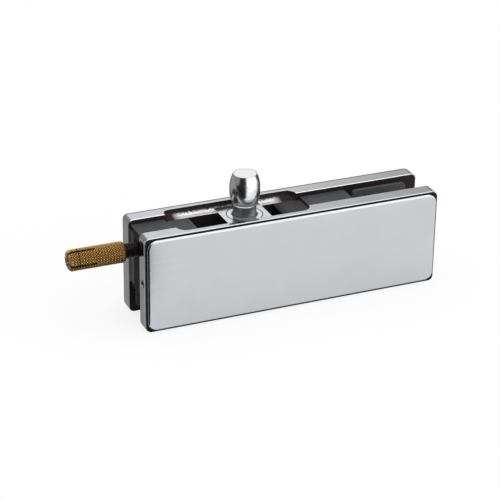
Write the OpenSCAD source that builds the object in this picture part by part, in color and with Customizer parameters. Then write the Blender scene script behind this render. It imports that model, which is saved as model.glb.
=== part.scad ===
// Over-panel glass patch fitting with an adjustable pivot pin and a wall plug.
// The origin is the middle of the pin's crown. X runs along the fitting, away from the wall,
// Y runs through the glass, and Z is up along the pin.

/* [Body] */
// Length of the fitting
body_l = 161.5; // [140:0.5:190]
// Height of the clamps
body_h = 51.5; // [46:0.5:60]
// Corner radius of the covers
corner_r = 5; // [3.5:0.5:7]
// Corner radius of the clamps
clamp_corner_r = 3; // [2:0.5:7]
// Corner radius of the black backings
backing_corner_r = 2.7; // [2:0.1:6]

/* [Glass] */
// Thickness of the glass panel
glass_t = 12; // [8:0.5:15]
// Thickness of each gasket
gasket_t = 2; // [1:0.25:3]
// Height of the glass strip under the core
glass_strip_h = 15.5; // [12:0.5:18]
// Distance of the gaskets from the clamps' top and bottom edges
gasket_inset = 3.3; // [2:0.1:5]
// Distance of the gaskets from the clamps' free end
gasket_end_inset = 6.9; // [4:0.1:10]
// Distance of the gaskets from the core
gasket_core_gap = 4.4; // [2:0.1:6]
// Width of the glass strip beside the core
glass_side_w = 42.2; // [34:0.1:50]
// Corner radius of the gaskets
gasket_corner_r = 2; // [1:0.25:3]

/* [Clamps and covers] */
// Thickness of one clamp half
clamp_t = 8; // [6.5:0.25:9]
// Rounded outer edge of the clamps
clamp_edge_r = 0.4; // [0.3:0.1:1.5]
// Rounded inner edge of the clamps
clamp_inner_edge_r = 0.4; // [0.2:0.1:1]
// Depth of the cover tray
cover_d = 1.2; // [1:0.1:2]
// Sheet thickness of the cover
cover_sheet = 0.7; // [0.5:0.1:1]
// Distance of the covers from the clamps' outline
cover_inset = 0.9; // [0.5:0.1:1.5]
// Rounded edge of the cover
cover_edge_r = 1; // [0.8:0.1:1.2]
// Visible thickness of the backing
backing_t = 0.8; // [0.6:0.1:2.5]
// Step of the backing's rim inside the clamps' outline
backing_step = 0.3; // [0.1:0.1:0.6]

/* [Core] */
// Drop of the wall block and the spacer below the clamp tops
core_drop = 2.4; // [1.5:0.1:4]
// Gap between the wall block and the end of the clamps
core_end_gap = 1.2; // [0:0.1:2]
// Length of the wall block
wall_block_l = 18.1; // [15:0.1:22]
// Length of the carrier's left post
left_post_l = 12.9; // [10:0.1:16]
// Length of the carrier's right post
right_post_l = 15.6; // [10:0.1:18]
// Thickness of the carrier's floor
floor_t = 6; // [4:0.5:8]

/* [Pocket] */
// Depth of the clamp pockets, measured into the clamp
pocket_d = 5.2; // [4:0.1:5.6]
// Height of the clamp pockets, down from the top
pocket_h = 3.8; // [3.4:0.1:5]
// Distance of the pocket from the wall end
pocket_from_end = 19.8; // [16:0.1:24]
// Length of the pocket
pocket_l = 72; // [66:0.5:76]
// Plan radius of the pocket's ends
pocket_end_r = 4.8; // [3.8:0.1:5]
// Rounded floor of the pocket
pocket_floor_r = 3; // [2:0.1:3.3]

/* [Pivot] */
// Pivot axis to the wall end
pin_from_end = 59.8; // [56:0.1:63]
// Crown diameter
crown_d = 15.6; // [14:0.1:15.9]
// Crown height
crown_h = 16.4; // [14:0.1:20]
// Straight land at the middle of the crown
crown_land = 2; // [1:0.5:6]
// Diameter of the crown's ends
crown_end_d = 12.2; // [12.2:0.1:14]
// Crown top above the clamp tops
pin_rise = 19.4; // [17:0.1:24]
// Neck diameter
neck_d = 12; // [10:0.1:12.1]
// Blend at the foot of the neck
neck_blend_r = 1; // [0.5:0.1:2]
// Collar diameter
collar_d = 18; // [16.5:0.5:20]
// Collar thickness
collar_t = 0.5; // [0.3:0.1:0.7]
// Shank diameter inside the block
shank_d = 12; // [9:0.5:13]
// Stud diameter
stud_d = 8; // [6:0.5:8.5]
// Length of the pivot block
block_l = 24; // [22:0.5:26]
// Drop of the pivot block's top below the clamp tops
block_drop = 2.9; // [2:0.1:3.2]
// Height of the locking nut
nut_h = 6.5; // [4:0.5:7]
// Width across the nut's flats
nut_af = 13; // [11:0.5:13.5]
// Washer thickness
washer_t = 1.6; // [1:0.1:2]
// Washer diameter
washer_d = 15.4; // [15.2:0.1:15.6]
// Slide of the pivot towards the wall
travel_in = 15; // [10:0.5:15.2]
// Slide of the pivot away from the wall
travel_out = 6; // [4:0.5:8]

/* [Wall fixing] */
// Bolt diameter
bolt_d = 8; // [6:0.5:10]
// Bolt axis below the clamp tops
bolt_drop = 12.5; // [11:0.1:16]
// Bolt length under the head
bolt_l = 30; // [26:0.5:34]
// Bolt head diameter
bolt_head_d = 13; // [10:0.5:14]
// Bolt head height
bolt_head_h = 8; // [6:0.5:9]
// Width across the flats of the bolt's hex socket
bolt_key = 6; // [4:0.5:7]
// Anchor diameter
anchor_d = 11; // [10:0.1:14]
// Anchor length
anchor_l = 29; // [24:0.5:36]
// Gap between the anchor and the clamps
anchor_gap = 5.6; // [4:0.1:10]
// Length of the anchor's slots
anchor_slot_l = 13.5; // [10:0.5:16]
// Width of the anchor's slots
anchor_slot_w = 1.2; // [0.8:0.1:2]
// Turn of the slots about the anchor's axis
anchor_slot_turn = 17; // [0:1:45]
// Diameter of the hole at the anchor's tip
anchor_tip_hole_d = 5; // [4:0.5:6]
// Chamfer of the anchor's tip
anchor_chamfer = 1.2; // [0.5:0.1:1.5]
// Distance of the ring groove from the tip
anchor_ring_from_tip = 4.6; // [3:0.1:7]

/* [Fasteners] */
// Clamp screw diameter
screw_d = 6; // [4:0.5:6.5]
// Clamp screw head diameter
screw_head_d = 10; // [8:0.5:10.5]
// Clamp screw head height
screw_head_h = 4; // [3:0.25:4.5]
// Width across the flats of the screws' hex sockets
screw_key = 4; // [3:0.5:5]
// Height of the clamp screws above the glass strip
screw_rise = 8; // [7:0.5:10]
// Locating pin diameter
dowel_d = 4; // [3:0.5:5]
// Depth of the locating pins in each clamp
dowel_seat = 2; // [1:0.25:2.25]
// Distance of the locating pins from the blocks' edges
dowel_edge = 4.5; // [3.5:0.1:6]
// Wall between the wall bolt's head and the locating pin under it
bolt_wall = 3.55; // [1:0.05:5]
// Grub screw diameter
grub_d = 4; // [3:0.5:4]
// Grub screw length
grub_l = 3; // [2:0.25:4]
// Width across the flats of the grub screws' hex sockets
grub_key = 2; // [1.3:0.1:2.5]
// Depth of the grub screws inside the clamp's end
grub_sink = 0.4; // [0.1:0.1:1]
// Length of the backing's tongues along the fitting
tongue_l = 5; // [4:0.5:7]
// Height of the backing's tongues
tongue_h = 10; // [6:0.5:14]
// Reach of the backing's tongues into the clamp
tongue_d = 4.5; // [3.5:0.1:4.7]

/* [Clearances] */
// Free play of the sliding pivot block
slide_play = 0.15; // [0.05:0.05:0.4]
// Radial clearance of bolts and screws in their holes
hole_play = 0.2; // [0.1:0.05:0.5]
// Radial play of threads and pins in their seats
thread_play = 0.03; // [0.01:0.01:0.06]
// Play of the tongues in the clamp and of the backing in the cover
cover_play = 0.1; // [0.05:0.05:0.3]

/* [Hidden] */
$fn = 64;
// Extra depth that lets a cut run past a face
past = 1;

// Levels along Z
crown_above_clamp = pin_rise - crown_h / 2;
top_z = -crown_above_clamp;
bottom_z = top_z - body_h;
middle_z = top_z - body_h / 2;
core_top_z = top_z - core_drop;
block_top_z = top_z - block_drop;
core_bottom_z = bottom_z + glass_strip_h;
pocket_floor_z = top_z - pocket_h;
// Length of stud below the nut, and again below the stud
stud_over = 0.5;
floor_bottom_z = core_bottom_z + 2 * stud_over + nut_h + washer_t;
floor_top_z = floor_bottom_z + floor_t;
bolt_z = top_z - bolt_drop;
screw_z = core_bottom_z + screw_rise;
neck_top_z = -crown_h / 2;

// Places along X
left_x = -pin_from_end;
right_x = left_x + body_l;
middle_x = (left_x + right_x) / 2;
wall_block_x = left_x + core_end_gap;
carrier_x = wall_block_x + wall_block_l;
spacer_end_x = right_x - glass_side_w;
// Room left at the end of the pivot block's outward slide
end_play = 0.7;
window_left_x = carrier_x + left_post_l;
window_right_x = block_l / 2 + travel_out + end_play;
spacer_x = window_right_x + right_post_l;
pocket_left_x = left_x + pocket_from_end;
pocket_right_x = pocket_left_x + pocket_l;

// Widths along Y
glass_gap = glass_t + 2 * gasket_t;

// Clamp screws: one in each post of the carrier and one in the spacer block
screw_xs = [
    carrier_x + left_post_l / 2,
    window_right_x + right_post_l / 2,
    (spacer_x + spacer_end_x) / 2
];
screw_bore_d = screw_d + 2 * hole_play;
// Room behind the clamp screws' tips
screw_tip_gap = 1;
// Locating pins, as places in X and Z: two in the wall block and one in the spacer block
bolt_dowel_z = bolt_z - bolt_head_d / 2 - hole_play - bolt_wall - dowel_d / 2;
dowel_spots = [
    [wall_block_x + dowel_edge, core_bottom_z + dowel_edge],
    [carrier_x - dowel_edge, bolt_dowel_z],
    [spacer_end_x - dowel_edge, core_top_z - 2 * dowel_edge]
];
// Tongues at both ends of each clamp, and grub screws at the ends given here, where -1 is the wall end
front_grub_ends = [-1, 1];
rear_grub_ends = [1];
tongue_from_end = grub_sink + grub_l;
grub_shift = 0.5;
grub_out = clamp_t / 2 + grub_shift;
// Anchor along X
anchor_tip_x = left_x - anchor_gap - anchor_l;
anchor_ring_w = 0.5;
anchor_ring_d = 0.35;
anchor_slots = 4;
bolt_head_sink = 0.5;
bolt_head_x = wall_block_x + wall_block_l - bolt_head_h - bolt_head_sink;
bolt_tip_x = bolt_head_x - bolt_l;
// Hole through the carrier's left post for the hex key that turns the bolt
key_room = 2;
key_hole_d = bolt_key + key_room;

// Puts a half's own frame in place: x along the fitting, y up, z outward from the clamp's inner face
module front_half() {
    translate([0, -glass_gap / 2, 0]) rotate([90, 0, 0]) children();
}

module rear_half() {
    mirror([0, 1, 0]) front_half() children();
}

// A quarter of a disc, right of and above its centre
module quarter_disc(r) {
    intersection() {
        circle(r = r);
        square(r);
    }
}

// One side of a slab's section: w from the middle to the edge, t thick, rounded at either face
module slab_side(w, t, inner_r, outer_r) {
    translate([0, inner_r]) square([w, t - inner_r - outer_r]);
    square([w - max(inner_r, outer_r), t]);
    if (inner_r > 0)
        translate([w - inner_r, inner_r]) mirror([0, 1]) quarter_disc(inner_r);
    if (outer_r > 0)
        translate([w - outer_r, t - outer_r]) quarter_disc(outer_r);
}

module slab_section(w, t, inner_r, outer_r) {
    slab_side(w, t, inner_r, outer_r);
    mirror([1, 0]) slab_side(w, t, inner_r, outer_r);
}

// A plate with round corners and rounded edges, centred on x and y, from z = 0 outward
module rounded_slab(l, h, r, t, inner_r = 0, outer_r = 0) {
    rotate([90, 0, 90])
        linear_extrude(l - 2 * r, center = true) slab_section(h / 2, t, inner_r, outer_r);
    rotate([90, 0, 0])
        linear_extrude(h - 2 * r, center = true) slab_section(l / 2, t, inner_r, outer_r);
    for (sx = [-1, 1], sy = [-1, 1])
        translate([sx * (l / 2 - r), sy * (h / 2 - r), 0])
            rotate_extrude() slab_side(r, t, inner_r, outer_r);
}

// The same plate at the fitting's middle
module body_slab(inset, r, t, inner_r = 0, outer_r = 0) {
    translate([middle_x, middle_z, 0])
        rounded_slab(body_l - 2 * inset, body_h - 2 * inset, r, t, inner_r, outer_r);
}

// A regular hexagon of a given width across flats
module hexagon(across_flats) {
    circle(d = across_flats / cos(30), $fn = 6);
}

// A bar along X with its lower left corner at x, z
module core_bar(x, l, bottom, top, width) {
    translate([x, -width / 2, bottom]) cube([l, width, top - bottom]);
}

module bore_y(x, z, d, l) {
    translate([x, 0, z]) rotate([90, 0, 0]) cylinder(d = d, h = l, center = true);
}

module bore_x(x, z, d, l) {
    translate([x, 0, z]) rotate([0, 90, 0]) cylinder(d = d, h = l);
}

// Section of a pocket from the clamp's inner face: d deep and h high, with a round edge at its floor
module pocket_section(d, r, h) {
    translate([0, r]) square([d, h - r]);
    square([d - r, h]);
    translate([d - r, r]) mirror([0, 1]) quarter_disc(r);
}

// The pocket in a clamp's top, in the half's own frame
module pocket_cut() {
    cut_h = pocket_h + past;
    straight_l = pocket_l - 2 * pocket_end_r;
    translate([pocket_left_x + pocket_end_r, pocket_floor_z, 0]) rotate([90, 0, 90])
        linear_extrude(straight_l) mirror([1, -1]) {
            pocket_section(pocket_d, pocket_floor_r, cut_h);
            translate([-past, 0]) square([past + pocket_d / 4, cut_h]);
        }
    for (x = [pocket_left_x + pocket_end_r, pocket_right_x - pocket_end_r])
        translate([x, pocket_floor_z, pocket_d - pocket_end_r]) rotate([-90, 0, 0])
            rotate_extrude() pocket_section(pocket_end_r, pocket_floor_r, cut_h);
}

// Tongues of the backing at both ends, grown by a play to cut their slots
module tongues(play) {
    for (end = [-1, 1])
        translate([middle_x + end * (body_l / 2 - tongue_from_end - tongue_l / 2), middle_z, clamp_t])
            translate([-tongue_l / 2 - play, -tongue_h / 2 - play, -tongue_d - play])
                cube([tongue_l + 2 * play, tongue_h + 2 * play, tongue_d + play + past / 2]);
}

// What a clamp is before its screw holes
module clamp_half(grub_ends) {
    difference() {
        body_slab(0, clamp_corner_r, clamp_t, clamp_inner_edge_r, clamp_edge_r);
        pocket_cut();
        tongues(cover_play);
        for (end = grub_ends)
            translate([middle_x + end * body_l / 2, middle_z, grub_out]) rotate([0, -90 * end, 0])
                translate([0, 0, -past])
                    cylinder(d = grub_d + 2 * thread_play, h = tongue_from_end + 2 * past);
        for (spot = dowel_spots)
            translate([spot[0], spot[1], -past])
                cylinder(d = dowel_d + 2 * thread_play, h = dowel_seat + past);
    }
}

module front_clamp() {
    color("silver") front_half() difference() {
        clamp_half(front_grub_ends);
        for (x = screw_xs) {
            translate([x, screw_z, -past]) cylinder(d = screw_bore_d, h = clamp_t + 2 * past);
            translate([x, screw_z, clamp_t - screw_head_h - hole_play])
                cylinder(d = screw_head_d + 2 * hole_play, h = screw_head_h + past);
        }
    }
}

module rear_clamp() {
    color("silver") rear_half() difference() {
        clamp_half(rear_grub_ends);
        for (x = screw_xs)
            translate([x, screw_z, -past])
                cylinder(d = screw_d + 2 * thread_play, h = clamp_t + past - screw_tip_gap / 2);
    }
}

module cover_tray() {
    translate([0, 0, clamp_t + backing_t]) difference() {
        body_slab(cover_inset, corner_r, cover_d, 0, cover_edge_r);
        translate([0, 0, -past])
            body_slab(cover_inset + cover_sheet, corner_r - cover_sheet, cover_d - cover_sheet + past);
    }
}

module front_cover() {
    color("gainsboro") front_half() cover_tray();
}

module rear_cover() {
    color("gainsboro") rear_half() cover_tray();
}

// A rim that shows as a dark line, a raised middle inside the cover, and two tongues
module backing_plate() {
    wall = cover_sheet + cover_play;
    translate([0, 0, clamp_t]) {
        body_slab(backing_step, backing_corner_r, backing_t);
        body_slab(cover_inset + wall, corner_r - wall, backing_t + cover_d - cover_sheet);
    }
    tongues(0);
}

module front_backing() {
    color([0.06, 0.06, 0.06]) front_half() backing_plate();
}

module rear_backing() {
    color([0.06, 0.06, 0.06]) rear_half() backing_plate();
}

// A flat rounded rectangle between two corners
module round_rectangle(low, high, r) {
    translate([low[0] + r, low[1]]) square([high[0] - low[0] - 2 * r, high[1] - low[1]]);
    translate([low[0], low[1] + r]) square([high[0] - low[0], high[1] - low[1] - 2 * r]);
    for (x = [low[0] + r, high[0] - r], y = [low[1] + r, high[1] - r])
        translate([x, y]) circle(r = r);
}

// An L-shaped pad: a strip under the core and a field beside it
module gasket_pad() {
    field_x = spacer_end_x + gasket_core_gap;
    far_x = right_x - gasket_end_inset;
    low_z = bottom_z + gasket_inset;
    strip_top_z = core_bottom_z - gasket_core_gap / 2;
    translate([0, 0, -gasket_t]) linear_extrude(gasket_t) {
        round_rectangle([field_x, low_z], [far_x, top_z - gasket_inset], gasket_corner_r);
        round_rectangle([left_x + gasket_inset, low_z], [far_x, strip_top_z], gasket_corner_r);
    }
}

module front_gasket() {
    color("dimgray") front_half() gasket_pad();
}

module rear_gasket() {
    color("dimgray") rear_half() gasket_pad();
}

// Holes through the core blocks, straight across between the clamps
module dowel_bores() {
    for (spot = dowel_spots)
        bore_y(spot[0], spot[1], dowel_d + 2 * thread_play, glass_gap + 2 * past);
}

module screw_bores() {
    for (x = screw_xs)
        bore_y(x, screw_z, screw_bore_d, glass_gap + 2 * past);
}

module wall_block() {
    color([0.3, 0.31, 0.32]) difference() {
        core_bar(wall_block_x, wall_block_l, core_bottom_z, core_top_z, glass_gap);
        bore_x(wall_block_x - past, bolt_z, bolt_d + 2 * hole_play, wall_block_l + 2 * past);
        bore_x(bolt_head_x, bolt_z, bolt_head_d + 2 * hole_play, bolt_head_h + 2 * past);
        dowel_bores();
    }
}

module pivot_carrier() {
    window_l = window_right_x - window_left_x;
    wide = glass_gap + 2 * past;
    color([0.3, 0.31, 0.32]) difference() {
        core_bar(carrier_x, spacer_x - carrier_x, core_bottom_z, pocket_floor_z, glass_gap);
        core_bar(window_left_x, window_l, floor_top_z, pocket_floor_z + past, wide);
        core_bar(window_left_x, window_l, core_bottom_z - past, floor_bottom_z, wide);
        slot_w = stud_d + 2 * hole_play;
        core_bar(-travel_in, travel_in + travel_out, floor_bottom_z - past, floor_top_z + past, slot_w);
        for (x = [-travel_in, travel_out])
            translate([x, 0, floor_bottom_z - past]) cylinder(d = slot_w, h = floor_t + 2 * past);
        bore_x(carrier_x - past, bolt_z, key_hole_d, left_post_l + 2 * past);
        screw_bores();
    }
}

module spacer_block() {
    color([0.3, 0.31, 0.32]) difference() {
        core_bar(spacer_x, spacer_end_x - spacer_x, core_bottom_z, core_top_z, glass_gap);
        screw_bores();
        dowel_bores();
    }
}

// A T-shaped slider: its plate runs in both pockets and its stem between the clamps
module pivot_block() {
    plate_bottom_z = pocket_floor_z + slide_play;
    plate_h = block_top_z - plate_bottom_z;
    plate_half = glass_gap / 2 + pocket_d - slide_play;
    stem_w = glass_gap - 2 * slide_play;
    color("lightsteelblue") difference() {
        union() {
            translate([-block_l / 2, 0, plate_bottom_z]) rotate([90, 0, 90]) linear_extrude(block_l)
                intersection() {
                    union() {
                        pocket_section(plate_half, pocket_floor_r - slide_play, pocket_h);
                        mirror([1, 0]) pocket_section(plate_half, pocket_floor_r - slide_play, pocket_h);
                    }
                    translate([-plate_half, 0]) square([2 * plate_half, plate_h]);
                }
            core_bar(-block_l / 2, block_l, floor_top_z + slide_play, block_top_z, stem_w);
        }
        translate([0, 0, block_top_z - collar_t])
            cylinder(d = collar_d + 2 * hole_play, h = collar_t + past);
        translate([0, 0, floor_top_z]) cylinder(d = shank_d + 2 * thread_play, h = block_top_z - floor_top_z);
    }
}

// Half of the crown's section, from its middle to one end
module crown_section() {
    arc_h = (crown_h - crown_land) / 2;
    arc_drop = (crown_d - crown_end_d) / 2;
    arc_r = (arc_h * arc_h + arc_drop * arc_drop) / (2 * arc_drop);
    square([crown_d / 2, crown_land / 2]);
    intersection() {
        square([crown_d / 2, crown_h / 2]);
        translate([crown_d / 2 - arc_r, crown_land / 2]) circle(r = arc_r);
    }
}

// A fillet that spreads the neck onto its collar
module neck_blend_section() {
    translate([neck_d / 2, block_top_z]) difference() {
        square(neck_blend_r);
        translate([neck_blend_r, neck_blend_r]) circle(r = neck_blend_r);
    }
}

module pivot_pin() {
    shank_bottom_z = floor_top_z + slide_play;
    collar_bottom_z = block_top_z - collar_t;
    stud_bottom_z = core_bottom_z + stud_over;
    color("silver") {
        rotate_extrude() {
            crown_section();
            mirror([0, 1]) crown_section();
            translate([0, block_top_z]) square([neck_d / 2, neck_top_z - block_top_z]);
            neck_blend_section();
            translate([0, collar_bottom_z]) square([collar_d / 2, collar_t]);
            translate([0, shank_bottom_z]) square([shank_d / 2, collar_bottom_z - shank_bottom_z]);
            translate([0, stud_bottom_z]) square([stud_d / 2, shank_bottom_z - stud_bottom_z]);
        }
    }
}

module pivot_washer() {
    translate([0, 0, floor_bottom_z - thread_play - washer_t]) color("silver") difference() {
        cylinder(d = washer_d, h = washer_t);
        translate([0, 0, -past]) cylinder(d = stud_d + 2 * hole_play, h = washer_t + 2 * past);
    }
}

module pivot_nut() {
    translate([0, 0, floor_bottom_z - thread_play - washer_t - nut_h]) color("silver") difference() {
        linear_extrude(nut_h) hexagon(nut_af);
        translate([0, 0, -past]) cylinder(d = stud_d + 2 * thread_play, h = nut_h + 2 * past);
    }
}

module wall_bolt() {
    socket_d = bolt_head_h / 2;
    color([0.1, 0.1, 0.1]) difference() {
        union() {
            bore_x(bolt_tip_x, bolt_z, bolt_d, bolt_l + bolt_head_h);
            bore_x(bolt_head_x, bolt_z, bolt_head_d, bolt_head_h);
        }
        translate([bolt_head_x + bolt_head_h - socket_d, 0, bolt_z]) rotate([0, 90, 0])
            linear_extrude(socket_d + past) hexagon(bolt_key);
    }
}

// Half of the sleeve's section, tip down: outer wall with chamfers and a bore that narrows to the tip
module anchor_section() {
    wall_r = anchor_d / 2;
    thread_r = bolt_d / 2 + thread_play;
    polygon([
        [anchor_tip_hole_d / 2, 0],
        [wall_r - anchor_chamfer, 0],
        [wall_r, anchor_chamfer],
        [wall_r, anchor_l - anchor_chamfer / 2],
        [wall_r - anchor_chamfer / 2, anchor_l],
        [thread_r, anchor_l],
        [thread_r, anchor_slot_l - past],
        [anchor_tip_hole_d / 2, anchor_chamfer]
    ]);
}

module wall_anchor() {
    color("darkgoldenrod") translate([anchor_tip_x, 0, bolt_z]) rotate([0, 90, 0]) difference() {
        rotate_extrude() anchor_section();
        for (i = [0 : anchor_slots - 1])
            rotate(anchor_slot_turn + i * 360 / anchor_slots)
                translate([0, -anchor_slot_w / 2, -past])
                    cube([anchor_d, anchor_slot_w, anchor_slot_l + past]);
        translate([0, 0, anchor_ring_from_tip]) difference() {
            cylinder(d = anchor_d + past, h = anchor_ring_w);
            translate([0, 0, -past]) cylinder(d = anchor_d - 2 * anchor_ring_d, h = anchor_ring_w + 2 * past);
        }
    }
}

module clamp_screws() {
    socket_d = screw_head_h / 2;
    shank_l = clamp_t - screw_head_h - hole_play + glass_gap + clamp_t - screw_tip_gap;
    color([0.12, 0.12, 0.12]) front_half() for (x = screw_xs)
        translate([x, screw_z, clamp_t - screw_head_h - hole_play]) difference() {
            union() {
                cylinder(d = screw_head_d, h = screw_head_h);
                translate([0, 0, -shank_l]) cylinder(d = screw_d, h = shank_l);
            }
            translate([0, 0, screw_head_h - socket_d]) linear_extrude(socket_d + past) hexagon(screw_key);
        }
}

module locating_pins() {
    pin_l = glass_gap + 2 * dowel_seat;
    color("silver") for (spot = dowel_spots)
        bore_y(spot[0], spot[1], dowel_d, pin_l);
}

// Grub screws at the given ends of a half
module half_grub_screws(grub_ends) {
    for (end = grub_ends)
        translate([middle_x + end * (body_l / 2 - grub_sink), middle_z, grub_out]) rotate([0, -90 * end, 0])
            difference() {
                cylinder(d = grub_d, h = grub_l);
                translate([0, 0, -past]) linear_extrude(grub_l / 2 + past) hexagon(grub_key);
            }
}

module cover_grub_screws() {
    color([0.12, 0.12, 0.12]) {
        front_half() half_grub_screws(front_grub_ends);
        rear_half() half_grub_screws(rear_grub_ends);
    }
}

front_clamp();
rear_clamp();
front_cover();
rear_cover();
front_backing();
rear_backing();
front_gasket();
rear_gasket();
wall_block();
pivot_carrier();
spacer_block();
pivot_block();
pivot_pin();
pivot_washer();
pivot_nut();
wall_bolt();
wall_anchor();
clamp_screws();
locating_pins();
cover_grub_screws();
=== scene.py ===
import math

import bmesh
import bpy
from mathutils import Matrix, Vector


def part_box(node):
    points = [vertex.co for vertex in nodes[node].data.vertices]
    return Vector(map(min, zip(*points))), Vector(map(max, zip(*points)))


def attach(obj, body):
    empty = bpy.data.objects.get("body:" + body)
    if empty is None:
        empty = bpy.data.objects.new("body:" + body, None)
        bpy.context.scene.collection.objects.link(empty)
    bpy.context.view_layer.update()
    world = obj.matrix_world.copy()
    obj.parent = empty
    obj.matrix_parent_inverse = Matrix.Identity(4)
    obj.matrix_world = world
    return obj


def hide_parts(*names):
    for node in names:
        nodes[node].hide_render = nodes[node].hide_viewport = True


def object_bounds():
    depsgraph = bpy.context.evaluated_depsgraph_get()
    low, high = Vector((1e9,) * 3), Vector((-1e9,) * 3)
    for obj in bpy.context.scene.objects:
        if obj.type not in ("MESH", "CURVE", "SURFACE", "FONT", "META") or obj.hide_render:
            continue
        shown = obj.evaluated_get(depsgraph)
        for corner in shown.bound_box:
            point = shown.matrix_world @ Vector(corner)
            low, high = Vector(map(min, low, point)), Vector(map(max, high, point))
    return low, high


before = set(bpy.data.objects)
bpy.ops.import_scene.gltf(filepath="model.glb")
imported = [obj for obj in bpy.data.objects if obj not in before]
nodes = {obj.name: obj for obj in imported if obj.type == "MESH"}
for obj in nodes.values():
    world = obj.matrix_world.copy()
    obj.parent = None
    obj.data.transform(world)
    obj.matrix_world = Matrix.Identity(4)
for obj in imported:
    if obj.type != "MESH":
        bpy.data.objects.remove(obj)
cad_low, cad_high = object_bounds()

MM = 0.001
scene = bpy.context.scene
scene.view_settings.view_transform = "Standard"

# Places and sizes that the boxes of the solids give
clamp_low, clamp_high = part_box("rear_clamp")
CLAMP_LEFT_X = clamp_low.x
CLAMP_INNER_Y = clamp_low.y
CLAMP_OUTER_Y = clamp_high.y
CLAMP_TOP_Z = clamp_high.z
wall_block_low, wall_block_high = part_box("wall_block")
WALL_BLOCK_X = wall_block_low.x
CORE_BOTTOM_Z = wall_block_low.z
CORE_TOP_Z = wall_block_high.z
RIGHT_POST_TO_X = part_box("pivot_carrier")[1].x
COLLAR_TOP_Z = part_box("pivot_block")[1].z
pin_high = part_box("pivot_pin")[1]
COLLAR_R = pin_high.x
PIN_TOP_Z = pin_high.z
anchor_low, anchor_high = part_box("wall_anchor")
ANCHOR_TIP_X = anchor_low.x
ANCHOR_END_X = anchor_high.x
ANCHOR_R = (anchor_high.z - anchor_low.z) / 2.0
BOLT_Z = (anchor_high.z + anchor_low.z) / 2.0
bolt_low, bolt_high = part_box("wall_bolt")
BOLT_TIP_X = bolt_low.x
BOLT_END_X = bolt_high.x
BOLT_HEAD_R = BOLT_Z - bolt_low.z

# Sizes of the solids that their boxes don't give
POCKET_FROM_END = 19.8 * MM
POCKET_L = 72.0 * MM
POCKET_D = 5.2 * MM
POCKET_H = 3.8 * MM
RIGHT_POST_L = 15.6 * MM
PIN_TOP_R = 6.1 * MM
ANCHOR_CHAMFER = 1.2 * MM
ANCHOR_BORE_R = 4.03 * MM
ANCHOR_TIP_HOLE_R = 2.5 * MM
ANCHOR_SLOT_L = 13.5 * MM
ANCHOR_SLOT_W = 1.2 * MM
ANCHOR_SLOT_TURN = math.radians(17.0)
ANCHOR_RING_FROM_TIP = 4.6 * MM
ANCHOR_RING_W = 0.5 * MM
BOLT_R = 4.0 * MM
BOLT_HEAD_H = 8.0 * MM
BOLT_KEY = 6.0 * MM

# Places worked out from these sizes. The origin is the middle of the pin's crown
POCKET_LEFT_X = CLAMP_LEFT_X + POCKET_FROM_END
POCKET_RIGHT_X = POCKET_LEFT_X + POCKET_L
POCKET_BACK_Y = CLAMP_INNER_Y + POCKET_D
POCKET_FLOOR_Z = CLAMP_TOP_Z - POCKET_H
RIGHT_POST_FROM_X = RIGHT_POST_TO_X - RIGHT_POST_L
CROWN_FOOT_Z = -PIN_TOP_Z
ANCHOR_RING_X = ANCHOR_TIP_X + ANCHOR_RING_FROM_TIP
BOLT_HEAD_X = BOLT_END_X - BOLT_HEAD_H

# Finer detail of the anchor and the bolt
KNURL_STARTS = 24
KNURL_STEPS = 7
KNURL_DEPTH = 0.5 * MM
KNURL_FLAT = 0.3
# The ring groove is deeper than the knurl that it crosses
ANCHOR_RING_D = 0.6 * MM
# Length behind the tip over which the bore narrows
ANCHOR_TAPER_L = 12.5 * MM
THREAD_PITCH = 1.25 * MM
THREAD_DEPTH = 0.65 * MM
THREAD_FLANK = 2.6
THREAD_CREST = 0.15
THREAD_STEPS = 6
THREAD_COLUMNS = 36
BOLT_EDGE = 0.6 * MM
BOLT_TIP_DROP = 0.96 * MM

# Camera at the photograph's viewing angle
CAMERA_TARGET = Vector((4.18, 2.0, -36.13)) * MM
CAMERA_DISTANCE = 978.95 * MM
CAMERA_YAW = math.radians(23.419)
CAMERA_PITCH = math.radians(25.822)
CAMERA_ROLL = math.radians(0.777)
CAMERA_NEAR = 10.0 * MM
IMAGE_SIDE = 500.0
FOCAL_PIXELS = 1906.28
SENSOR = 36.0


def make_camera():
    forward = Vector((
        math.sin(CAMERA_YAW) * math.cos(CAMERA_PITCH),
        math.cos(CAMERA_YAW) * math.cos(CAMERA_PITCH),
        -math.sin(CAMERA_PITCH),
    ))
    level = Vector((math.cos(CAMERA_YAW), -math.sin(CAMERA_YAW), 0.0))
    upright = level.cross(forward)
    right = level * math.cos(CAMERA_ROLL) + upright * math.sin(CAMERA_ROLL)
    up = upright * math.cos(CAMERA_ROLL) - level * math.sin(CAMERA_ROLL)
    data = bpy.data.cameras.new("camera")
    data.sensor_width = SENSOR
    data.lens = FOCAL_PIXELS / IMAGE_SIDE * SENSOR
    data.clip_start = CAMERA_NEAR
    camera = bpy.data.objects.new("camera", data)
    scene.collection.objects.link(camera)
    turn = Matrix((right, up, -forward)).transposed().to_4x4()
    camera.matrix_world = Matrix.Translation(CAMERA_TARGET - forward * CAMERA_DISTANCE) @ turn
    scene.camera = camera


# Helpers for node trees
NOISE_LOW = 0.3
NOISE_HIGH = 0.7
EDGE_SAMPLES = 6


def grey(level):
    return (level, level, level, 1.0)


def shade(colour, factor):
    return tuple(channel * factor for channel in colour)


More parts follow.
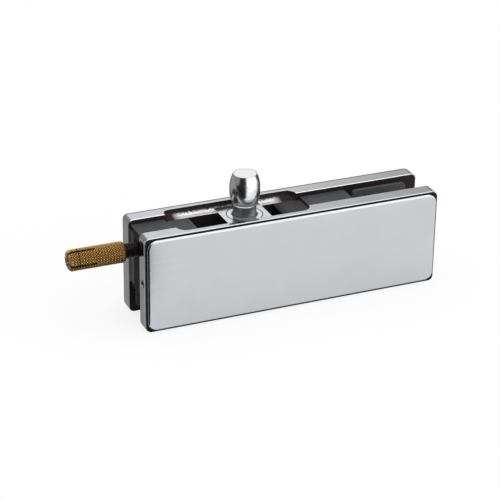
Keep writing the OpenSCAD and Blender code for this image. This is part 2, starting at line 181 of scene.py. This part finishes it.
class Tree:
    """Short calls that add nodes to a node tree and feed their sockets."""

    def __init__(self, tree):
        self.tree = tree

    def node(self, kind, **inputs):
        made = self.tree.nodes.new(kind)
        for socket, value in inputs.items():
            self.feed(made.inputs[socket.replace("_", " ")], value)
        return made

    def feed(self, socket, value):
        if isinstance(value, bpy.types.NodeSocket):
            self.tree.links.new(value, socket)
        else:
            socket.default_value = value

    def calc(self, operation, first, second=0.0):
        made = self.tree.nodes.new("ShaderNodeMath")
        made.operation = operation
        self.feed(made.inputs[0], first)
        self.feed(made.inputs[1], second)
        return made.outputs["Value"]

    def above(self, value, limit):
        return self.calc("GREATER_THAN", value, limit)

    def below(self, value, limit):
        return self.calc("LESS_THAN", value, limit)

    def away(self, value, middle):
        """How far a value lies from a middle, on either side."""
        return self.calc("ABSOLUTE", self.calc("SUBTRACT", value, middle))

    def radius(self, first, second):
        squares = [self.calc("POWER", part, 2.0) for part in (first, second)]
        return self.calc("SQRT", self.calc("ADD", *squares))

    def both(self, mask, *others):
        """A mask of where all the given masks are."""
        for other in others:
            mask = self.calc("MULTIPLY", mask, other)
        return mask

    def either(self, mask, *others):
        """A mask of where any of the given masks is."""
        for other in others:
            mask = self.calc("MAXIMUM", mask, other)
        return mask

    def without(self, mask, other):
        """A mask less where another one is."""
        return self.both(mask, self.calc("SUBTRACT", 1.0, other))

    def span(self, value, low, high, start, end):
        """A number that goes from low to high while a value goes from start to end."""
        made = self.node("ShaderNodeMapRange", Value=value)
        made.inputs["From Min"].default_value = start
        made.inputs["From Max"].default_value = end
        self.feed(made.inputs["To Min"], low)
        self.feed(made.inputs["To Max"], high)
        return made.outputs["Result"]

    def fade(self, value, base, offsets):
        """A mask that is 0 at the first offset from a base and 1 at the second."""
        start, end = offsets
        return self.span(value, 0.0, 1.0, base + start, base + end)

    def vary(self, noise, low, high):
        """A number that a noise takes from low to high."""
        return self.span(noise, low, high, NOISE_LOW, NOISE_HIGH)

    def pick(self, mask, outside, inside):
        """One number outside a mask and another inside it."""
        return self.span(mask, outside, inside, 0.0, 1.0)

    def blend(self, mask, outside, inside):
        """One colour outside a mask and another inside it."""
        made = self.tree.nodes.new("ShaderNodeMix")
        made.data_type = "RGBA"
        self.feed(made.inputs["Factor"], mask)
        self.feed(made.inputs["A"], (*outside, 1.0) if isinstance(outside, tuple) else outside)
        self.feed(made.inputs["B"], (*inside, 1.0) if isinstance(inside, tuple) else inside)
        return made.outputs["Result"]

    def mottle(self, noise, colour, darkest):
        """A colour that a noise takes down to its darkest share."""
        return self.blend(self.vary(noise, 0.0, 1.0), shade(colour, darkest), colour)

    def mix_shader(self, factor, first, second):
        made = self.tree.nodes.new("ShaderNodeMixShader")
        self.feed(made.inputs["Fac"], factor)
        self.tree.links.new(first, made.inputs[1])
        self.tree.links.new(second, made.inputs[2])
        return made.outputs["Shader"]


class Look(Tree):
    """A node material with a Principled shader."""

    def __init__(self, name, **sockets):
        self.material = bpy.data.materials.new(name)
        self.material.use_nodes = True
        super().__init__(self.material.node_tree)
        self.shader = self.tree.nodes["Principled BSDF"]
        for socket, value in sockets.items():
            self.set(socket.replace("_", " "), value)

    def set(self, socket, value):
        self.feed(self.shader.inputs[socket], value)

    def place(self, stretch=(1.0, 1.0, 1.0)):
        coords = self.tree.nodes.new("ShaderNodeTexCoord")
        mapping = self.node("ShaderNodeMapping", Vector=coords.outputs["Object"], Scale=stretch)
        return mapping.outputs["Vector"]

    def noise(self, scale, detail=3.0, stretch=(1.0, 1.0, 1.0)):
        made = self.node("ShaderNodeTexNoise", Vector=self.place(stretch), Scale=scale, Detail=detail)
        return made.outputs["Fac"]

    def axis(self, name):
        parts = self.node("ShaderNodeSeparateXYZ", Vector=self.place())
        return parts.outputs[name]

    def bump(self, height, strength, distance, edge_radius=0.0):
        made = self.node("ShaderNodeBump", Height=height, Strength=strength, Distance=distance)
        if edge_radius:
            edges = self.node("ShaderNodeBevel", Radius=edge_radius)
            edges.samples = EDGE_SAMPLES
            self.feed(made.inputs["Normal"], edges.outputs["Normal"])
        self.set("Normal", made.outputs["Normal"])


# Colours of the covers and the clamps
POLISHED = (0.594, 0.615, 0.633)
# White of the pocket floor, partly wear and partly a painted highlight, and of two painted edge highlights
WEAR_AND_HIGHLIGHT_WHITE = (0.90, 0.90, 0.91)
# Black painted as shade on the clamps' inner faces and pocket walls
SLOT_SHADE_BLACK = (0.024, 0.018, 0.018)
# Lighter grey painted as light on the inner faces at the open wall end
OPEN_END_LIGHT_GREY = (0.15, 0.152, 0.16)


def make_cover_steel():
    look = Look("polished cover steel", Metallic=1.0)
    cloud = look.noise(scale=60.0)
    hairline = look.noise(scale=900.0, detail=2.0, stretch=(0.04, 1.0, 1.0))
    look.set("Base Color", look.mottle(cloud, POLISHED, darkest=0.96))
    look.set("Roughness", look.vary(hairline, 0.15, 0.21))
    look.bump(hairline, strength=0.03, distance=0.02 * MM)
    return look.material


# Painted light and shade and wear on the clamps, as offsets from the face, edge or block that each is
# measured from
INNER_SHADE_END = (0.03 * MM, 0.1 * MM)
POCKET_MARGIN = 0.1 * MM
FLOOR_BRIGHT_END = (0.3 * MM, 1.2 * MM)
FLOOR_BRIGHT_RAGGED = 3.0 * MM
LEFT_END_SHADE = (9.5 * MM, 5.0 * MM)
RIGHT_END_SHADE = (-12.0 * MM, -7.0 * MM)
TOP_BAND = 0.5 * MM
INNER_EDGE_HIGHLIGHT = (0.8 * MM, 0.5 * MM)
WALL_EDGE_HIGHLIGHT_X = 0.7 * MM
WALL_EDGE_HIGHLIGHT_Y = 1.5 * MM
REAR_EDGE_SHADE_BAND = (-0.9 * MM, -0.5 * MM)
OPEN_END_LIGHT_MARGIN = 2.0 * MM


def make_clamp_alloy():
    """Bright alloy, with black painted as shade on the inner faces and the pocket walls.

    The pocket's floor is white, partly wear and partly a painted highlight, and is painted black as shade
    towards its ends.
    Two edges have a painted white highlight, the rear clamp's top has a dark line painted as shade,
    and the inner faces are painted lighter grey beside the wall block, as light at the open end.
    """
    look = Look("polished clamp alloy", Specular_IOR_Level=0.12)
    along = look.axis("X")
    across = look.axis("Y")
    height = look.axis("Z")
    out = look.calc("ABSOLUTE", across)

    # The inner faces are painted black as shade in the slot between the clamps
    outside = look.fade(out, CLAMP_INNER_Y, INNER_SHADE_END)
    pocket = look.both(
        outside,
        look.above(along, POCKET_LEFT_X - POCKET_MARGIN),
        look.below(along, POCKET_RIGHT_X + POCKET_MARGIN),
        look.below(out, POCKET_BACK_Y + POCKET_MARGIN),
        look.below(height, CLAMP_TOP_Z - POCKET_MARGIN),
        look.above(height, POCKET_FLOOR_Z - POCKET_MARGIN),
    )
    speckle = look.calc("SUBTRACT", look.noise(scale=1800.0, detail=2.0), 0.5)
    ragged = look.calc("ADD", height, look.calc("MULTIPLY", speckle, FLOOR_BRIGHT_RAGGED))
    # The pocket's walls and its floor towards its ends are painted black as shade; the rest of the floor
    # is white, partly wear and partly a painted highlight
    pocket_shaded = look.either(
        look.fade(ragged, POCKET_FLOOR_Z, FLOOR_BRIGHT_END),
        look.fade(along, POCKET_LEFT_X, LEFT_END_SHADE),
        look.fade(along, POCKET_RIGHT_X, RIGHT_END_SHADE),
    )
    bright = look.without(outside, look.both(pocket, pocket_shaded))

    near_top = look.above(height, CLAMP_TOP_Z - TOP_BAND)
    # White painted as a highlight along the rear clamp's inner top edge
    rear_inner_edge_highlight = look.both(
        look.fade(across, CLAMP_INNER_Y, INNER_EDGE_HIGHLIGHT),
        look.above(across, 0.0),
        near_top,
    )
    # White painted as a highlight along the front clamp's outer edge at the wall end
    front_wall_edge_highlight = look.both(
        look.below(along, CLAMP_LEFT_X + WALL_EDGE_HIGHLIGHT_X),
        look.below(across, WALL_EDGE_HIGHLIGHT_Y - CLAMP_OUTER_Y),
    )
    wear_and_highlight = look.either(pocket, rear_inner_edge_highlight, front_wall_edge_highlight)
    # A dark line painted as shade along the rear clamp's outer top edge
    rear_edge_shade = look.both(look.fade(across, CLAMP_OUTER_Y, REAR_EDGE_SHADE_BAND), near_top)
    # Lighter grey painted as light on the inner faces beside the wall block, at the open end
    open_end_light = look.both(
        look.below(along, WALL_BLOCK_X),
        look.below(height, CORE_TOP_Z - OPEN_END_LIGHT_MARGIN),
        look.above(height, CORE_BOTTOM_Z + OPEN_END_LIGHT_MARGIN),
    )

    metal = look.mottle(look.noise(scale=90.0), POLISHED, darkest=0.93)
    metal = look.blend(rear_edge_shade, metal, shade(POLISHED, 0.15))
    metal = look.blend(wear_and_highlight, metal, WEAR_AND_HIGHLIGHT_WHITE)
    slot_shade_and_light = look.blend(open_end_light, SLOT_SHADE_BLACK, OPEN_END_LIGHT_GREY)
    look.set("Base Color", look.blend(bright, slot_shade_and_light, metal))
    look.set("Metallic", bright)
    grain = look.noise(scale=700.0, detail=4.0)
    polish = look.pick(wear_and_highlight, look.vary(grain, 0.07, 0.14), look.vary(grain, 0.4, 0.6))
    look.set("Roughness", look.pick(bright, 0.5, polish))
    look.bump(grain, strength=look.pick(pocket, 0.05, 0.5), distance=0.05 * MM, edge_radius=0.8 * MM)
    return look.material


# Painted shade on the core, as offsets from the middle plane, the core's edges and the post's near end
FACE_SKIN = 0.1 * MM
BLACK_FRONT_HALF = (3.8 * MM, 3.0 * MM)
BLACK_TOP_EDGE = (-2.8 * MM, -2.2 * MM)
BLACK_BOTTOM_EDGE = (2.6 * MM, 2.2 * MM)
POST_FADE = (0.0, 5.0 * MM)


def make_core_metal():
    """Dark cast blocks. The wall end is painted lighter, as light, with its front half and its upper and
    lower edges painted black as shade.

    The post at the window's far end is painted black as shade at the window, and dark grey away from it.
    """
    look = Look("dark core metal", Specular_IOR_Level=0.1)
    dark = (0.070, 0.071, 0.075)
    black = (0.004, 0.003, 0.003)
    along = look.axis("X")
    height = look.axis("Z")
    wall_end = look.below(along, WALL_BLOCK_X + FACE_SKIN)
    # Black painted as shade on the wall end's front half and its upper and lower edges
    end_shadow = look.either(
        look.fade(look.axis("Y"), 0.0, BLACK_FRONT_HALF),
        look.fade(height, CORE_TOP_Z, BLACK_TOP_EDGE),
        look.fade(height, CORE_BOTTOM_Z, BLACK_BOTTOM_EDGE),
    )
    post = look.both(
        look.above(along, RIGHT_POST_FROM_X - FACE_SKIN),
        look.below(along, RIGHT_POST_TO_X),
    )
    # The post is painted black as shade at the window, fading to dark grey away from it
    post_fade = look.fade(along, RIGHT_POST_FROM_X, POST_FADE)
    post_shade = look.blend(post_fade, shade(dark, 0.1), shade(dark, 0.6))
    cast = look.mottle(look.noise(scale=250.0), dark, darkest=0.75)
    # The wall end is painted lighter, as light falling on it
    cast = look.blend(wall_end, cast, shade(dark, 1.5))
    cast = look.blend(post, cast, post_shade)
    look.set("Base Color", look.blend(look.both(end_shadow, wall_end), cast, black))
    grain = look.noise(scale=1600.0)
    look.set("Roughness", look.vary(grain, 0.36, 0.5))
    look.bump(grain, strength=0.12, distance=0.05 * MM)
    return look.material


def make_black_plastic():
    look = Look("black backing plastic", Specular_IOR_Level=0.1)
    black = (0.010, 0.009, 0.0095)
    grain = look.noise(scale=2200.0, detail=2.0)
    look.set("Base Color", look.mottle(grain, black, darkest=0.7))
    look.set("Roughness", look.vary(grain, 0.38, 0.5))
    look.bump(grain, strength=0.08, distance=0.03 * MM)
    return look.material


def make_gasket_fibre():
    look = Look("gasket fibre")
    fibre = (0.105, 0.108, 0.112)
    strands = look.noise(scale=1500.0, detail=4.0, stretch=(0.25, 1.0, 1.0))
    look.set("Base Color", look.mottle(strands, fibre, darkest=0.65))
    look.set("Roughness", look.vary(strands, 0.6, 0.8))
    look.bump(strands, strength=0.25, distance=0.06 * MM)
    return look.material


# Dark line painted round the collar as shade in its gap: how far outside the collar it lies, and how it
# fades from there
COLLAR_GAP_SHADE_OUT = 0.2 * MM
COLLAR_GAP_SHADE_FADE = (0.4 * MM, 0.2 * MM)


def make_block_steel():
    """Fine milling lines, and a dark line painted round the pin's collar as shade in its gap."""
    look = Look("milled block steel", Metallic=1.0)
    steel = (0.75, 0.76, 0.77)
    gap_shade_black = (0.03, 0.03, 0.03)
    lines = look.noise(scale=1200.0, detail=2.0, stretch=(0.05, 1.0, 1.0))
    clean = look.mottle(look.noise(scale=120.0), steel, darkest=0.95)
    radius = look.radius(look.axis("X"), look.axis("Y"))
    # A dark ring painted as shade in the gap round the collar
    gap_shade = look.fade(look.away(radius, COLLAR_R + COLLAR_GAP_SHADE_OUT), 0.0, COLLAR_GAP_SHADE_FADE)
    look.set("Base Color", look.blend(gap_shade, clean, gap_shade_black))
    look.set("Roughness", look.vary(lines, 0.16, 0.24))
    look.bump(lines, strength=0.04, distance=0.02 * MM)
    return look.material


# Marks on the pin, as offsets from its top, its top's edge, the crown's foot and the collar's top
PIN_TOP_SKIN = (-0.04 * MM, -0.01 * MM)
PIN_TOP_RIM = (-0.4 * MM, -0.2 * MM)
DARK_UP_TO = (5.0 * MM, 2.0 * MM)
FOOT_HIGHLIGHT_H = 0.4 * MM
LOWER_CROWN = (0.4 * MM, 0.6 * MM)
DARK_FROM = (0.0, 0.03 * MM)
NECK_FOOT = (1.0 * MM, 0.6 * MM)


def make_pin_steel():
    """Lathe lines draw out the pin's reflections. Its flat top is duller, with a dark rim.

    The neck and the lower crown are painted dark as shade, with a painted highlight at the crown's foot.
    """
    look = Look("turned pin steel", Metallic=1.0, Anisotropic=0.8)
    steel = (0.80, 0.81, 0.82)
    neck_grey = (0.36, 0.365, 0.37)
    lower_crown_grey = (0.20, 0.203, 0.208)
    neck_foot_grey = (0.16, 0.162, 0.166)
    disc_white = (0.76, 0.76, 0.77)
    rim_grey = (0.13, 0.13, 0.14)
    brushed_across = (0.0, 1.0, 0.0)
    height = look.axis("Z")
    top = look.fade(height, PIN_TOP_Z, PIN_TOP_SKIN)
    # A bright line painted as a highlight at the crown's foot
    foot_highlight = look.below(look.away(height, CROWN_FOOT_Z + FOOT_HIGHLIGHT_H / 2.0), FOOT_HIGHLIGHT_H / 2.0)
    # The neck and the lower crown are painted dark as shade
    dark = look.both(
        look.fade(height, CROWN_FOOT_Z, DARK_UP_TO),
        look.fade(height, COLLAR_TOP_Z, DARK_FROM),
    )
    dark = look.without(dark, foot_highlight)

    # Darker greys painted as shade on the lower crown and at the neck's foot
    shade_tone = look.blend(look.fade(height, CROWN_FOOT_Z, LOWER_CROWN), neck_grey, lower_crown_grey)
    shade_tone = look.blend(look.fade(height, COLLAR_TOP_Z, NECK_FOOT), shade_tone, neck_foot_grey)
    sides = look.mottle(look.noise(scale=120.0), steel, darkest=0.93)
    sides = look.blend(dark, sides, shade_tone)
    rim = look.fade(look.radius(look.axis("X"), look.axis("Y")), PIN_TOP_R, PIN_TOP_RIM)
    disc = look.blend(rim, disc_white, rim_grey)
    look.set("Base Color", look.blend(top, sides, disc))

    rings = look.noise(scale=1500.0, detail=2.0, stretch=(0.06, 0.06, 1.0))
    turned = look.pick(dark, look.vary(rings, 0.14, 0.20), 0.4)
    look.set("Roughness", look.pick(top, turned, 0.45))
    look.bump(rings, strength=0.04, distance=0.02 * MM)
    around = look.node("ShaderNodeTangent")
    around.direction_type = "RADIAL"
    around.axis = "Z"
    look.set("Tangent", look.blend(top, around.outputs["Tangent"], brushed_across))
    return look.material


def make_zinc_steel():
    look = Look("zinc plated steel", Metallic=1.0)
    zinc = (0.55, 0.56, 0.58)
    grain = look.noise(scale=900.0)
    look.set("Base Color", look.mottle(grain, zinc, darkest=0.85))
    look.set("Roughness", look.vary(grain, 0.28, 0.4))
    look.bump(grain, strength=0.06, distance=0.03 * MM)
    return look.material


def make_black_steel():
    look = Look("blackened steel", Metallic=0.3)
    black = (0.020, 0.017, 0.018)
    grain = look.noise(scale=1100.0)
    look.set("Base Color", look.mottle(grain, black, darkest=0.6))
    look.set("Roughness", look.vary(grain, 0.26, 0.4))
    look.bump(grain, strength=0.06, distance=0.03 * MM)
    return look.material


# Marks on the brass, as offsets from the anchor's outside and the edge of its ring groove, and its tarnish
KNURL_CREST = (-0.7 * KNURL_DEPTH, 0.0)
TIP_POLISH = 0.6
RING_SHADE = (0.1 * MM, 0.0)
TARNISH = (0.35, 0.65)


def make_brass():
    """Tarnished brass, bright on the knurl's crests and the tip, and dark in the knurl's grooves; the ring
    groove is painted near black as shade.
    """
    look = Look("knurled brass", Metallic=1.0)
    red_brass = (0.80, 0.44, 0.19)
    yellow_brass = (0.80, 0.66, 0.25)
    groove_brown = (0.29, 0.165, 0.05)
    ring_shade_brown = (0.05, 0.028, 0.01)
    along = look.axis("X")
    radius = look.radius(look.axis("Y"), look.calc("SUBTRACT", look.axis("Z"), BOLT_Z))
    chamfer_x = ANCHOR_TIP_X + ANCHOR_CHAMFER
    tip = look.span(along, TIP_POLISH, 0.0, chamfer_x, chamfer_x + ANCHOR_CHAMFER / 2.0)
    crest = look.either(look.fade(radius, ANCHOR_R, KNURL_CREST), tip)
    off_ring = look.away(along, ANCHOR_RING_X + ANCHOR_RING_W / 2.0)
    # The ring groove is painted near black as shade
    ring = look.fade(off_ring, ANCHOR_RING_W / 2.0, RING_SHADE)
    tarnish = look.fade(look.noise(scale=800.0), 0.0, TARNISH)
    bright = look.blend(tarnish, red_brass, yellow_brass)
    worked = look.blend(crest, groove_brown, bright)
    look.set("Base Color", look.blend(ring, worked, ring_shade_brown))
    look.set("Roughness", look.vary(look.noise(scale=900.0), 0.3, 0.46))
    return look.material


# Turned and threaded pieces
def turned_rings(mesh, rows, columns):
    """Adds a ring of points round the bolt's axis for each row of x and a radius by angle."""
    rings = []
    for x, radius in rows:
        ring = []
        for i in range(columns):
            angle = 2.0 * math.pi * i / columns
            r = radius(angle)
            ring.append(mesh.verts.new((x, r * math.cos(angle), BOLT_Z + r * math.sin(angle))))
        rings.append(ring)
    return rings


def join_rings(mesh, rings):
    for first, second in zip(rings, rings[1:]):
        for i in range(len(first)):
            j = (i + 1) % len(first)
            mesh.faces.new((first[i], first[j], second[j], second[i]))


def finished_object(name, mesh):
    bmesh.ops.recalc_face_normals(mesh, faces=mesh.faces[:])
    data = bpy.data.meshes.new(name)
    mesh.to_mesh(data)
    mesh.free()
    made = bpy.data.objects.new(name, data)
    scene.collection.objects.link(made)
    return made


def cut(target, cutters):
    bpy.context.view_layer.update()
    for cutter in cutters:
        step = target.modifiers.new("cut", "BOOLEAN")
        step.operation = "DIFFERENCE"
        step.solver = "EXACT"
        step.object = cutter
    graph = bpy.context.evaluated_depsgraph_get()
    carved = bpy.data.meshes.new_from_object(target.evaluated_get(graph))
    target.modifiers.clear()
    target.data = carved
    for cutter in cutters:
        bpy.data.objects.remove(cutter)


def plain(r):
    """The same radius at every angle."""
    return lambda angle: r


def knurled(x):
    """The radius by angle of the anchor's diamond knurl."""
    run = x * KNURL_STARTS / (2.0 * math.pi * ANCHOR_R)

    def radius(angle):
        turn = angle * KNURL_STARTS / (2.0 * math.pi)
        ridges = [1.0 - 2.0 * abs((turn + side * run) % 1.0 - 0.5) for side in (-1.0, 1.0)]
        drops = [max(0.0, 1.0 - ridge / (1.0 - KNURL_FLAT)) for ridge in ridges]
        return ANCHOR_R - KNURL_DEPTH * max(drops)

    return radius


def threaded(x):
    """The radius by angle of the bolt's thread."""
    def radius(angle):
        share = (x / THREAD_PITCH - angle / (2.0 * math.pi)) % 1.0
        drop = THREAD_FLANK * abs(share - 0.5) - THREAD_CREST
        return BOLT_R - THREAD_DEPTH * min(1.0, max(0.0, drop))

    return radius


def slot_cutter(turn):
    """A slab through the anchor's axis that reaches from its tip to the end of its slots."""
    blank = bmesh.new()
    size = Matrix.Diagonal((2.0 * ANCHOR_SLOT_L, 3.0 * ANCHOR_R, ANCHOR_SLOT_W, 1.0))
    bmesh.ops.create_cube(blank, size=1.0, matrix=size)
    cutter = finished_object("slot_cutter", blank)
    cutter.matrix_world = Matrix.Translation((ANCHOR_TIP_X, 0.0, BOLT_Z)) @ Matrix.Rotation(turn, 4, "X")
    return cutter


def make_anchor():
    """A hollow sleeve with a diamond knurl, a ring groove and two crossed slots in its tip."""
    row_step = 2.0 * math.pi * ANCHOR_R / KNURL_STARTS / KNURL_STEPS
    knurl_from = ANCHOR_TIP_X + ANCHOR_CHAMFER
    knurl_to = ANCHOR_END_X - ANCHOR_CHAMFER / 2.0
    count = int((knurl_to - knurl_from) / row_step)
    places = [knurl_from + (knurl_to - knurl_from) * i / count for i in range(count + 1)]
    ring_from = ANCHOR_RING_X
    ring_to = ANCHOR_RING_X + ANCHOR_RING_W
    ring_floor = plain(ANCHOR_R - ANCHOR_RING_D)
    rows = [
        (ANCHOR_TIP_X, plain(ANCHOR_TIP_HOLE_R)),
        (ANCHOR_TIP_X, plain(ANCHOR_R - ANCHOR_CHAMFER)),
        *[(x, knurled(x)) for x in places if x <= ring_from - row_step / 2.0],
        (ring_from, knurled(ring_from)),
        (ring_from, ring_floor),
        (ring_to, ring_floor),
        (ring_to, knurled(ring_to)),
        *[(x, knurled(x)) for x in places if x >= ring_to + row_step / 2.0],
        (ANCHOR_END_X, plain(ANCHOR_R - ANCHOR_CHAMFER / 2.0)),
        (ANCHOR_END_X, plain(ANCHOR_BORE_R)),
        (ANCHOR_TIP_X + ANCHOR_TAPER_L, plain(ANCHOR_BORE_R)),
        (ANCHOR_TIP_X + ANCHOR_CHAMFER, plain(ANCHOR_TIP_HOLE_R)),
    ]
    mesh = bmesh.new()
    rings = turned_rings(mesh, rows, KNURL_STARTS * KNURL_STEPS)
    join_rings(mesh, [*rings, rings[0]])
    anchor = finished_object("anchor_sleeve", mesh)
    cut(anchor, [slot_cutter(ANCHOR_SLOT_TURN + quarter * math.pi / 2.0) for quarter in range(2)])
    return anchor


def make_bolt():
    """A threaded shank up to the head, and a socket head with an edge break."""
    thread_from = BOLT_TIP_X + BOLT_EDGE
    thread_to = BOLT_HEAD_X - BOLT_EDGE
    count = int((thread_to - thread_from) / THREAD_PITCH * THREAD_STEPS)
    places = [thread_from + (thread_to - thread_from) * i / count for i in range(count + 1)]
    rows = [
        (BOLT_TIP_X, plain(BOLT_R - BOLT_TIP_DROP)),
        *[(x, threaded(x)) for x in places],
        (BOLT_HEAD_X, plain(BOLT_R - THREAD_DEPTH)),
        (BOLT_HEAD_X, plain(BOLT_HEAD_R)),
        (BOLT_END_X - BOLT_EDGE, plain(BOLT_HEAD_R)),
        (BOLT_END_X, plain(BOLT_HEAD_R - BOLT_EDGE)),
    ]
    mesh = bmesh.new()
    rings = turned_rings(mesh, rows, THREAD_COLUMNS)
    join_rings(mesh, rings)
    mesh.faces.new(rings[0])
    mesh.faces.new(rings[-1])
    bolt = finished_object("threaded_bolt", mesh)

    blank = bmesh.new()
    socket_r = BOLT_KEY / math.sqrt(3.0)
    bmesh.ops.create_cone(blank, cap_ends=True, segments=6, depth=BOLT_HEAD_H,
                          radius1=socket_r, radius2=socket_r)
    socket = finished_object("socket_cutter", blank)
    onto_axis = Matrix.Rotation(math.pi / 2.0, 4, "Y")
    socket.matrix_world = Matrix.Translation((BOLT_END_X, 0.0, BOLT_Z)) @ onto_axis
    cut(bolt, [socket])
    return bolt


# Materials on the pieces, and their edges
def dress(piece, material):
    piece.data.materials.clear()
    piece.data.materials.append(material)


WELD_GAP = 0.001 * MM
EDGE_SEGMENTS = 2
EDGE_ANGLE = math.radians(45.0)


def soften(piece, width):
    """Breaks a piece's sharp edges, so that they catch the light."""
    weld = piece.modifiers.new("weld", "WELD")
    weld.merge_threshold = WELD_GAP
    bevel = piece.modifiers.new("bevel", "BEVEL")
    bevel.width = width
    bevel.segments = EDGE_SEGMENTS
    bevel.limit_method = "ANGLE"
    bevel.angle_limit = EDGE_ANGLE
    bevel.harden_normals = True


# Floor and surround
FLOOR_SIDE = 8.0
FLOOR_WHITE = 0.92
FLOOR_SEEN_SHARE = 0.82
FLOOR_MIRRORED_SHARE = 0.45


def stage_material(name):
    """A new material with an empty node tree, and that tree."""
    material = bpy.data.materials.new(name)
    material.use_nodes = True
    material.node_tree.nodes.clear()
    return material, Tree(material.node_tree)


def make_floor():
    """A pale floor, shown nearly white to the camera and in the metal, with the object's shadow on it."""
    blank = bmesh.new()
    bmesh.ops.create_grid(blank, x_segments=1, y_segments=1, size=FLOOR_SIDE / 2.0)
    floor = finished_object("floor", blank)
    floor.location.z = cad_low.z
    material, tree = stage_material("pale floor")
    paths = tree.node("ShaderNodeLightPath")
    paper = tree.node("ShaderNodeBsdfDiffuse", Color=grey(FLOOR_WHITE))
    white = tree.node("ShaderNodeEmission", Color=grey(1.0))
    mirrored = tree.either(paths.outputs["Is Glossy Ray"], paths.outputs["Is Transmission Ray"])
    share = tree.either(
        tree.calc("MULTIPLY", paths.outputs["Is Camera Ray"], FLOOR_SEEN_SHARE),
        tree.calc("MULTIPLY", mirrored, FLOOR_MIRRORED_SHARE),
    )
    surface = tree.mix_shader(share, paper.outputs["BSDF"], white.outputs["Emission"])
    tree.node("ShaderNodeOutputMaterial", Surface=surface)
    floor.data.materials.append(material)


# Flags on the floor round the object, seen only in its metal: name, brightness and corners in mm
FLAG_RISE = 0.1 * MM
FAR = 3900
FLAGS = [
    ("left_back_flag", 0.34, [(-FAR, -18), (-57, -18), (-57, FAR), (-FAR, FAR)]),
    ("left_front_flag", 0.008, [(-FAR, -FAR), (-620, -FAR), (-24, -112), (-63, -18), (-FAR, -18)]),
    ("right_front_flag", 1.3, [(-10, -140), (318, -140), (FAR, -1650), (FAR, -FAR), (-450, -FAR)]),
    ("right_back_flag", 0.06, [(105, -12), (FAR, -12), (FAR, FAR), (105, FAR)]),
    ("front_edge_flag", 0.05, [(-60, -20), (102, -20), (102, -16), (-60, -16)]),
    ("back_flag", 0.06, [(-57, 110), (105, 110), (105, FAR), (-57, FAR)]),
]


def make_flag(name, level, corners):
    blank = bmesh.new()
    blank.faces.new([blank.verts.new((x * MM, y * MM, cad_low.z + FLAG_RISE)) for x, y in corners])
    flag = finished_object(name, blank)
    material, tree = stage_material(name)
    glow = tree.node("ShaderNodeEmission", Color=grey(level))
    tree.node("ShaderNodeOutputMaterial", Surface=glow.outputs["Emission"])
    flag.data.materials.append(material)
    flag.visible_camera = False
    flag.visible_diffuse = False
    flag.visible_shadow = False


# Brightness of the studio walls by compass angle in degrees, clockwise from behind the object
WALLS = [
    (0, 0.85), (18, 1.0), (24, 0.92), (28.5, 0.57), (34, 0.35), (42, 0.12), (92, 0.12),
    (104, 1.6), (185, 1.6), (193, 0.015), (243, 0.015), (249, 0.25), (345, 0.3), (360, 0.85),
]
# Brightness of the ceiling, and the angles above the horizon where it starts and where it is full
CEILING = 1.6
CEILING_FROM = math.radians(38.0)
CEILING_FULL = math.radians(55.0)


def make_world():
    """A studio of soft walls and a ceiling that lights the object, seen as plain white by the camera."""
    world = bpy.data.worlds.new("studio")
    scene.world = world
    world.use_nodes = True
    world.node_tree.nodes.clear()
    tree = Tree(world.node_tree)
    coords = tree.node("ShaderNodeTexCoord")
    way = tree.node("ShaderNodeSeparateXYZ", Vector=coords.outputs["Generated"])
    turn = tree.calc("ARCTAN2", way.outputs["X"], way.outputs["Y"])
    compass = tree.calc("FRACT", tree.calc("ADD", tree.calc("DIVIDE", turn, 2.0 * math.pi), 1.0))
    ramp = tree.node("ShaderNodeValToRGB", Fac=compass)
    stops = ramp.color_ramp.elements
    while len(stops) < len(WALLS):
        stops.new(0.5)
    for stop, (angle, level) in zip(stops, WALLS):
        stop.position = angle / 360.0
        stop.color = grey(level)
    rise = tree.span(way.outputs["Z"], 0.0, 1.0, math.sin(CEILING_FROM), math.sin(CEILING_FULL))
    light = tree.blend(rise, ramp.outputs["Color"], (CEILING, CEILING, CEILING))
    studio = tree.node("ShaderNodeBackground", Color=light)
    white = tree.node("ShaderNodeBackground", Color=grey(1.0))
    paths = tree.node("ShaderNodeLightPath")
    seen = paths.outputs["Is Camera Ray"]
    surface = tree.mix_shader(seen, studio.outputs["Background"], white.outputs["Background"])
    tree.node("ShaderNodeOutputWorld", Surface=surface)


# The scene is made from here on
make_camera()

black_steel = make_black_steel()
NODE_LOOKS = [
    (make_clamp_alloy(), "polished_alloy", ["front_clamp", "rear_clamp"]),
    (make_cover_steel(), "polished_steel", ["front_cover", "rear_cover"]),
    (make_black_plastic(), "black_plastic", ["front_backing", "rear_backing"]),
    (make_gasket_fibre(), "gasket_fibre", ["front_gasket", "rear_gasket"]),
    (make_core_metal(), "core_metal", ["wall_block", "pivot_carrier", "spacer_block"]),
    (make_block_steel(), "pivot_steel", ["pivot_block"]),
    (make_pin_steel(), "pivot_steel", ["pivot_pin"]),
    (make_zinc_steel(), "zinc_steel", ["pivot_washer", "pivot_nut", "locating_pins"]),
    (black_steel, "black_steel", ["clamp_screws", "cover_grub_screws"]),
]
for material, slot, names in NODE_LOOKS:
    for name in names:
        dress(nodes[name], material)

EDGE_BREAKS = [
    (0.25 * MM, ["wall_block", "pivot_carrier", "spacer_block", "pivot_block"]),
    (0.5 * MM, ["front_gasket", "rear_gasket"]),
]
for width, names in EDGE_BREAKS:
    for name in names:
        soften(nodes[name], width)

anchor = make_anchor()
dress(anchor, make_brass())
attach(anchor, "fitting")
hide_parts("wall_anchor")

bolt = make_bolt()
dress(bolt, black_steel)
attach(bolt, "fitting")
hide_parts("wall_bolt")

make_floor()
for flag in FLAGS:
    make_flag(*flag)
make_world()
